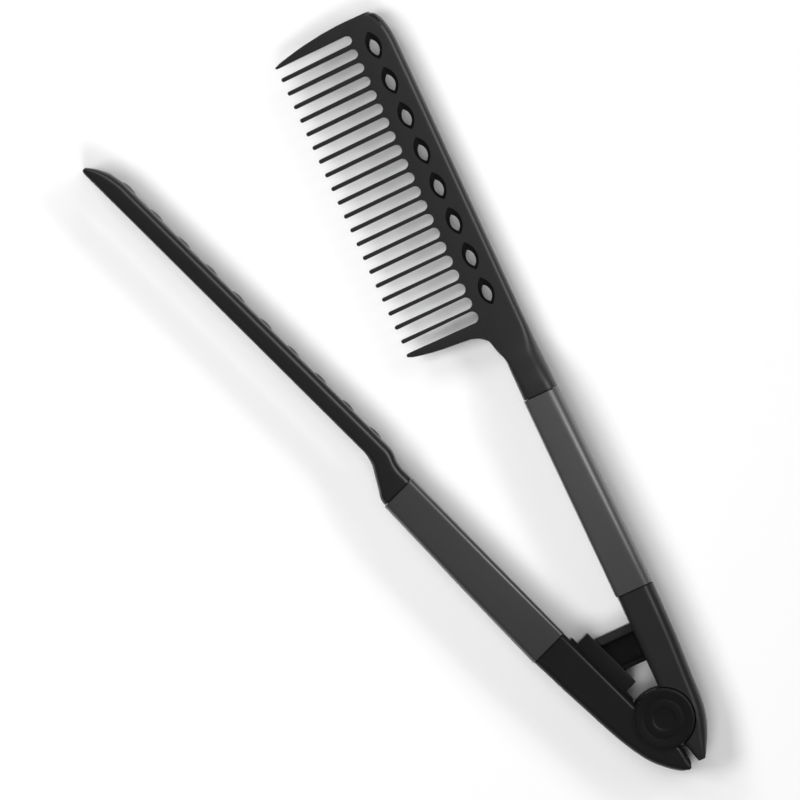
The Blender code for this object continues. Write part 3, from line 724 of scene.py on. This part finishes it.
def select_edges(test):
    """Selects the edges of the edited mesh that pass the test, and nothing else."""
    mesh = bpy.context.edit_object.data
    bpy.ops.mesh.select_mode(type="EDGE")
    bpy.ops.mesh.select_all(action="DESELECT")
    edited = bmesh.from_edit_mesh(mesh)
    for edge in edited.edges:
        if test(edge):
            edge.select_set(True)
    bmesh.update_edit_mesh(mesh)


def sharp(edge):
    """Whether an edge is a corner of the shape, and not a step of a curve."""
    return edge.is_manifold and edge.calc_face_angle() > SHARP_ANGLE


def round_edges(piece, test, radius, steps):
    """Rounds the edges of a piece that pass the test."""
    pick(piece)
    bpy.ops.object.mode_set(mode="EDIT")
    select_edges(test)
    bpy.ops.mesh.bevel(offset=radius, segments=steps, affect="EDGES")
    bpy.ops.object.mode_set(mode="OBJECT")


def disc(radius, low, high, edge=0):
    """A cylinder on the hinge axis, with rounded rims where they show."""
    bpy.ops.object.select_all(action="DESELECT")
    bpy.ops.mesh.primitive_cylinder_add(
        vertices=DISC_POINTS, radius=radius, depth=high - low, location=(0, 0, (low + high) / 2)
    )
    bpy.ops.object.transform_apply(location=True, rotation=True, scale=True)
    made = bpy.context.object
    if edge:
        round_edges(made, sharp, edge, DISC_EDGE_STEPS)
    return made


comb_knuckle = knuckle(
    "comb_knuckle_fine", COMB_KNUCKLE_ROWS, COMB_GRIP_ROWS, COMB_SIDE, HANDLE_OUTER_RADIUS
)
knuckle_faces = (MID_DEPTH - KNUCKLE_HALF_DEPTH, MID_DEPTH + KNUCKLE_HALF_DEPTH)
combine(comb_knuckle, disc(EAR_RADIUS + SEAM, -OVERCUT, knuckle_faces[0]), "DIFFERENCE")
combine(comb_knuckle, disc(EAR_RADIUS + SEAM, knuckle_faces[1], GRIP_DEPTH + OVERCUT), "DIFFERENCE")
combine(comb_knuckle, disc(BARREL_RADIUS, *knuckle_faces, EDGE_ROUND), "UNION")
combine(comb_knuckle, disc(PIN_BORE, 0, GRIP_DEPTH), "DIFFERENCE")
comb_knuckle_black = moulded_plastic("comb_knuckle_black", grey=0.0165, gloss=0.28, roughness=0.31)
finish_piece(
    comb_knuckle, COMB_SIDE, comb_knuckle_black, "comb_knuckle", "comb_arm"
)

# Stop post
# A flat channelled post, moulded in one with the comb knuckle, that crosses the V into the other arm.
# Its upper wall has the knuckle's black, and the rest lies deeper and gets a darker black as painted
# shade.
POST_ALONG = (0.018, 0.0302)
POST_OUT = (-0.0125, 0.005)
POST_HALF_DEPTH = 0.005
POST_LOW_WALL = 0.0015
POST_HIGH_WALL = 0.0027
POST_WEB_HALF_DEPTH = 0.001
POST_EDGE = 0.00025
POST_EDGE_STEPS = 2


def block(along, out, up, side):
    """A box between pairs of places along an arm, out from its centre line and up from the mid depth."""
    centre = (side * sum(out) / 2, sum(along) / 2, MID_DEPTH + sum(up) / 2)
    size = (out[1] - out[0], along[1] - along[0], up[1] - up[0])
    bpy.ops.object.select_all(action="DESELECT")
    bpy.ops.mesh.primitive_cube_add(size=1, location=centre, scale=size)
    bpy.ops.object.transform_apply(location=True, rotation=True, scale=True)
    return bpy.context.object


wall_foot = POST_ALONG[1] - POST_HIGH_WALL
post_up = (-POST_HALF_DEPTH, POST_HALF_DEPTH)
upper_wall = block((wall_foot, POST_ALONG[1]), POST_OUT, post_up, COMB_SIDE)
round_edges(upper_wall, sharp, POST_EDGE, POST_EDGE_STEPS)
upper_wall.name = "post_wall_fine"
finish_piece(
    upper_wall, COMB_SIDE, comb_knuckle_black, "comb_knuckle", "comb_arm"
)
post = block((POST_ALONG[0], wall_foot + SEAM), POST_OUT, post_up, COMB_SIDE)
for channel_up in (
    (POST_WEB_HALF_DEPTH, POST_HALF_DEPTH + OVERCUT),
    (-POST_HALF_DEPTH - OVERCUT, -POST_WEB_HALF_DEPTH),
):
    channel_along = (POST_ALONG[0] + POST_LOW_WALL, wall_foot)
    channel_out = (POST_OUT[0] + POST_LOW_WALL, COMB_KNUCKLE_ROWS[0][1] - SEAM)
    combine(post, block(channel_along, channel_out, channel_up, COMB_SIDE), "DIFFERENCE")
round_edges(post, sharp, POST_EDGE, POST_EDGE_STEPS)
post.name = "stop_post_fine"
# The post below its upper wall gets the darker black, as painted shade
finish_piece(post, COMB_SIDE, painted_shade_black, "comb_knuckle", "comb_arm")

# Jaw
# The long black jaw that the comb closes into: a deep thin blade with a slot down its middle that the
# teeth pass through, low grip pads on the inner face of both rails, a neck, and a tang for the grip.
JAW_SIDE = -1
JAW_INNER = 0.00018
JAW_OUTER = 0.00663
JAW_INNER_RADIUS = 0.0028
JAW_OUTER_RADIUS = 0.0012
JAW_NECK_RADIUS = 0.002
JAW_SLOT_ALONG = (0.1215, 0.233)
JAW_SLOT_HALF = 0.0035
JAW_SLOT_REACH = 0.02
JAW_SLOT_END_STEPS = 8
JAW_SLOT_EDGE = 0.0004
JAW_SLOT_EDGE_STEPS = 3
PAD_COUNT = 10
PAD_PITCH = 0.01155
FIRST_PAD = 0.2256
PAD_SINK = 0.0006
PAD_SIZE = (0.00118, 0.0031, 0.0018)
PAD_FROM_MID = 0.0052
PAD_SEGMENTS = 24
PAD_RINGS = 12
# Columns: along, inner edge, outer edge, inner corner radius, outer corner radius
JAW_GRIP_ROWS = (
    (0.0394, 0.0029, 0.0157, 0.0013, 0.0020),
    (0.0700, 0.0025, 0.0150, 0.0018, 0.0020),
    (0.1039, 0.0020, 0.0139, 0.0020, 0.0020),
)
# Columns: along, inner edge, outer edge, outer corner radius
JAW_ROWS = (
    (0.2391, 0.0053, 0.0060, JAW_OUTER_RADIUS),
    (0.2389, 0.0049, 0.0063, JAW_OUTER_RADIUS),
    (0.2384, 0.0045, 0.0065, JAW_OUTER_RADIUS),
    (0.2370, 0.0034, JAW_OUTER, JAW_OUTER_RADIUS),
    (0.2352, 0.0023, JAW_OUTER, JAW_OUTER_RADIUS),
    (0.2334, 0.0014, JAW_OUTER, JAW_OUTER_RADIUS),
    (0.2316, 0.0008, JAW_OUTER, JAW_OUTER_RADIUS),
    (0.2298, 0.0005, JAW_OUTER, JAW_OUTER_RADIUS),
    (0.2270, JAW_INNER, JAW_OUTER, JAW_OUTER_RADIUS),
    (0.1200, JAW_INNER, JAW_OUTER, JAW_OUTER_RADIUS),
    (0.1173, JAW_INNER, 0.0071, 0.0016),
    (0.1155, JAW_INNER, 0.0077, 0.0022),
    (0.1137, 0.0005, 0.0087, JAW_NECK_RADIUS),
    (0.1110, 0.0016, 0.0103, JAW_NECK_RADIUS),
    (0.1083, 0.0021, 0.0119, JAW_NECK_RADIUS),
    (0.1065, 0.0021, 0.0131, JAW_NECK_RADIUS),
    (0.1042, 0.0021, 0.0135, JAW_NECK_RADIUS),
)

jaw_parts = curved([section(*row[:3], BODY_HALF_DEPTH, JAW_INNER_RADIUS, row[3]) for row in JAW_ROWS])
jaw = loft(
    "jaw_frame_fine",
    soft_end(jaw_parts[0], -1, EDGE_ROUND)[::-1]
    + jaw_parts[1:-1]
    + soft_end(jaw_parts[-1], 1, SEAM_ROUND)
    + tang(JAW_GRIP_ROWS, jaw_parts[-1].along),
    JAW_SIDE,
)
slot_across = (-JAW_SLOT_REACH, JAW_SLOT_REACH)
slot_cutter = block(JAW_SLOT_ALONG, slot_across, (-JAW_SLOT_HALF, JAW_SLOT_HALF), JAW_SIDE)
round_edges(
    slot_cutter,
    lambda edge: abs(edge.verts[0].co.x - edge.verts[1].co.x) > JAW_SLOT_REACH,
    JAW_SLOT_HALF * FULLEST_CORNER,
    JAW_SLOT_END_STEPS,
)
combine(jaw, slot_cutter, "DIFFERENCE")


def on_slot_rim(edge):
    """Whether an edge of the jaw is on the rim of its slot, at the inner face or the outer one."""
    in_slot = all(abs(point.co.z - MID_DEPTH) < JAW_SLOT_HALF + SEAM for point in edge.verts)
    return in_slot and edge.verts[0].co.y > JAW_SLOT_ALONG[0] - SEAM and sharp(edge)


round_edges(jaw, on_slot_rim, JAW_SLOT_EDGE, JAW_SLOT_EDGE_STEPS)
bpy.ops.object.select_all(action="DESELECT")
pad_place = (JAW_SIDE * (JAW_INNER + PAD_SINK), FIRST_PAD, MID_DEPTH - PAD_FROM_MID)
bpy.ops.mesh.primitive_uv_sphere_add(
    segments=PAD_SEGMENTS, ring_count=PAD_RINGS, radius=1, location=pad_place, scale=PAD_SIZE
)
bpy.ops.object.transform_apply(location=True, rotation=True, scale=True)
first_pad = bpy.context.object
pads = [first_pad]
for number in range(PAD_COUNT):
    for rail in (0, 2 * PAD_FROM_MID):
        if number or rail:
            pads.append(copied(first_pad, (0, -number * PAD_PITCH, rail)))
combine(jaw, joined(pads), "UNION")
# The jaw's black is a darker copy of the comb's, as painted shade: the light is weaker on the jaw arm's
# side
jaw_black_painted_shade = moulded_plastic("jaw_black_painted_shade", grey=0.0105, gloss=0.75, roughness=0.34)
finish_piece(jaw, JAW_SIDE, jaw_black_painted_shade, "jaw_frame", "jaw_arm")

# Jaw grip
# The other grey sleeve, pushed over the tangs of the jaw and the jaw knuckle. It is a little wider than
# the comb's, and its grey is darker as painted shade, because the light is weaker on the jaw arm's side.
jaw_grip = sleeve("jaw_grip_fine", JAW_GRIP_ROWS, JAW_SIDE)
# A darker copy of the comb grip's grey, as painted shade
jaw_grey_painted_shade = moulded_plastic("jaw_grey_painted_shade", grey=0.031, gloss=1.0, roughness=0.38, ior=1.75)
finish_piece(jaw_grip, JAW_SIDE, jaw_grey_painted_shade, "jaw_grip", "jaw_arm")

# Jaw knuckle
# The jaw arm's hinge end, one black moulding: two ears that hold the comb's knuckle between them, a
# seat for the pin's back cap, and a pocket in its inner face, with a shallow seat for the guide.
POCKET_ALONG = (0.0175, 0.0333)
POCKET_END = 0.0129
POCKET_HALF_DEPTH = 0.0055
FLANGE_ALONG = (0.0105, 0.0365)
FLANGE_OUT = (0.0022, 0.004)
FLANGE_HALF_DEPTH = 0.0078
BACK_CAP_RADIUS = 0.006
BACK_CAP_HEIGHT = 0.0016
JAW_KNUCKLE_OUTER_RADIUS = 0.0022
# Columns: along, inner edge, outer edge
JAW_KNUCKLE_ROWS = (
    (0.0391, 0.0030, 0.0154),
    (0.0282, 0.0030, 0.0151),
    (0.0192, 0.0030, 0.0147),
    (0.0102, 0.0030, 0.0143),
    (0.0030, 0.0030, 0.0137),
    (-0.0024, 0.0030, 0.0129),
    (-0.0060, 0.0027, 0.0120),
    (-0.0096, 0.0022, 0.0105),
    (-0.0132, 0.0030, 0.0085),
    (-0.0150, 0.0035, 0.0071),
    (-0.0162, 0.0044, 0.0057),
)

jaw_knuckle = knuckle(
    "jaw_knuckle_fine", JAW_KNUCKLE_ROWS, JAW_GRIP_ROWS, JAW_SIDE, JAW_KNUCKLE_OUTER_RADIUS
)
ear_faces = (knuckle_faces[0] - SEAM, knuckle_faces[1] + SEAM)
combine(jaw_knuckle, disc(BARREL_RADIUS + SEAM, *ear_faces), "DIFFERENCE")
combine(jaw_knuckle, disc(EAR_RADIUS, MID_DEPTH - BODY_HALF_DEPTH, ear_faces[0], EDGE_ROUND), "UNION")
combine(jaw_knuckle, disc(EAR_RADIUS, ear_faces[1], MID_DEPTH + BODY_HALF_DEPTH, EDGE_ROUND), "UNION")
combine(jaw_knuckle, disc(PIN_BORE, -OVERCUT, GRIP_DEPTH + OVERCUT), "DIFFERENCE")
combine(jaw_knuckle, disc(BACK_CAP_RADIUS + SEAM, -OVERCUT, BACK_CAP_HEIGHT + SEAM), "DIFFERENCE")
flange_seat = block(
    (FLANGE_ALONG[0] - SEAM, FLANGE_ALONG[1] + SEAM),
    (0, FLANGE_OUT[1] + SEAM),
    (-FLANGE_HALF_DEPTH - SEAM, FLANGE_HALF_DEPTH + SEAM),
    JAW_SIDE,
)
pocket_up = (-POCKET_HALF_DEPTH, POCKET_HALF_DEPTH)
combine(jaw_knuckle, flange_seat, "DIFFERENCE")
combine(jaw_knuckle, block(POCKET_ALONG, (0, POCKET_END), pocket_up, JAW_SIDE), "DIFFERENCE")
# A darker copy of the comb knuckle's black, as painted shade: the light is weaker on the jaw arm's side
jaw_knuckle_black_painted_shade = moulded_plastic("jaw_knuckle_black_painted_shade", grey=0.0092, gloss=0.3, roughness=0.3)
finish_piece(jaw_knuckle, JAW_SIDE, jaw_knuckle_black_painted_shade, "jaw_knuckle", "jaw_arm")

# Post guide
# A black box, open at both ends, that the comb arm's post slides in. It stands on a flange let into the
# jaw arm's inner face.
GUIDE_ALONG = (0.0137, 0.0342)
GUIDE_TOP = -0.002
GUIDE_HALF_DEPTH = 0.007

guide = block(FLANGE_ALONG, FLANGE_OUT, (-FLANGE_HALF_DEPTH, FLANGE_HALF_DEPTH), JAW_SIDE)
guide_up = (-GUIDE_HALF_DEPTH, GUIDE_HALF_DEPTH)
combine(guide, block(GUIDE_ALONG, (GUIDE_TOP, sum(FLANGE_OUT) / 2), guide_up, JAW_SIDE), "UNION")
guide_opening = (GUIDE_TOP - OVERCUT, FLANGE_OUT[1] + OVERCUT)
combine(guide, block(POCKET_ALONG, guide_opening, pocket_up, JAW_SIDE), "DIFFERENCE")
round_edges(guide, sharp, POST_EDGE, POST_EDGE_STEPS)
guide.name = "post_guide_fine"
# The guide gets the darker black, as painted shade for the hollow it sits in
finish_piece(guide, JAW_SIDE, painted_shade_black, "post_guide", "jaw_arm")

# Hinge pin
# The round black front cap with the pin moulded to it. The cap has a shallow dimple and faint turned
# rings, and its middle is plain.
ON_AXIS = 0
# Columns: radius, height
PIN_PROFILE = (
    (0.0000, 0.02090),
    (0.0028, 0.02090),
    (0.0031, 0.02093),
    (0.0034, 0.02108),
    (0.0037, 0.02114),
    (0.0056, 0.02115),
    (0.0058, 0.02108),
    (0.0060, 0.02106),
    (0.0062, 0.02108),
    (0.0064, 0.02115),
    (0.0080, 0.02117),
    (0.0083, 0.02120),
    (0.0086, 0.02119),
    (0.0089, 0.02108),
    (0.0091, 0.02085),
    (0.0091, 0.02010),
    (0.0090, 0.02000),
    (0.0030, 0.02000),
    (0.0030, 0.00190),
    (0.0000, 0.00190),
)


def turned(name, profile):
    """A turned piece on the hinge axis: a point drawn out into its profile, and spun."""
    bpy.ops.object.select_all(action="DESELECT")
    bpy.ops.mesh.primitive_plane_add(size=1, location=(0, 0, 0))
    piece = bpy.context.object
    piece.name = name
    bpy.ops.object.mode_set(mode="EDIT")
    bpy.ops.mesh.select_mode(type="VERT")
    bpy.ops.mesh.merge(type="CENTER")
    bpy.ops.transform.translate(value=(profile[0][0], 0, profile[0][1]))
    for (radius, height), (next_radius, next_height) in zip(profile, profile[1:]):
        step = (next_radius - radius, 0, next_height - height)
        bpy.ops.mesh.extrude_vertices_move(TRANSFORM_OT_translate={"value": step})
    bpy.ops.mesh.select_all(action="SELECT")
    bpy.ops.mesh.spin(steps=DISC_POINTS, angle=2 * pi, center=(0, 0, 0), axis=(0, 0, 1))
    bpy.ops.mesh.select_all(action="SELECT")
    bpy.ops.mesh.remove_doubles(threshold=WELD_DISTANCE)
    bpy.ops.mesh.normals_make_consistent(inside=False)
    bpy.ops.object.mode_set(mode="OBJECT")
    return piece


hinge_pin = turned("hinge_pin_fine", PIN_PROFILE)
hub_plastic = moulded_plastic("hub_black", grey=0.0062, gloss=0.3, roughness=0.4, grain=0.12, mottle=0.05)
finish_piece(hinge_pin, ON_AXIS, hub_plastic, "hinge_pin", "jaw_arm")

# Pin's back cap
# The small black cap at the pin's other end, which the comb rests on. It sits in a round seat in the
# jaw knuckle's back.
# Columns: radius, height
BACK_CAP_PROFILE = (
    (0.0000, 0.0016),
    (0.0059, 0.0016),
    (0.0060, 0.0015),
    (0.0060, 0.0004),
    (0.0059, 0.0002),
    (0.0057, 0.0000),
    (0.0000, 0.0000),
)
pin_cap = turned("pin_cap_fine", BACK_CAP_PROFILE)
finish_piece(pin_cap, ON_AXIS, hub_plastic, "pin_cap", "jaw_arm")
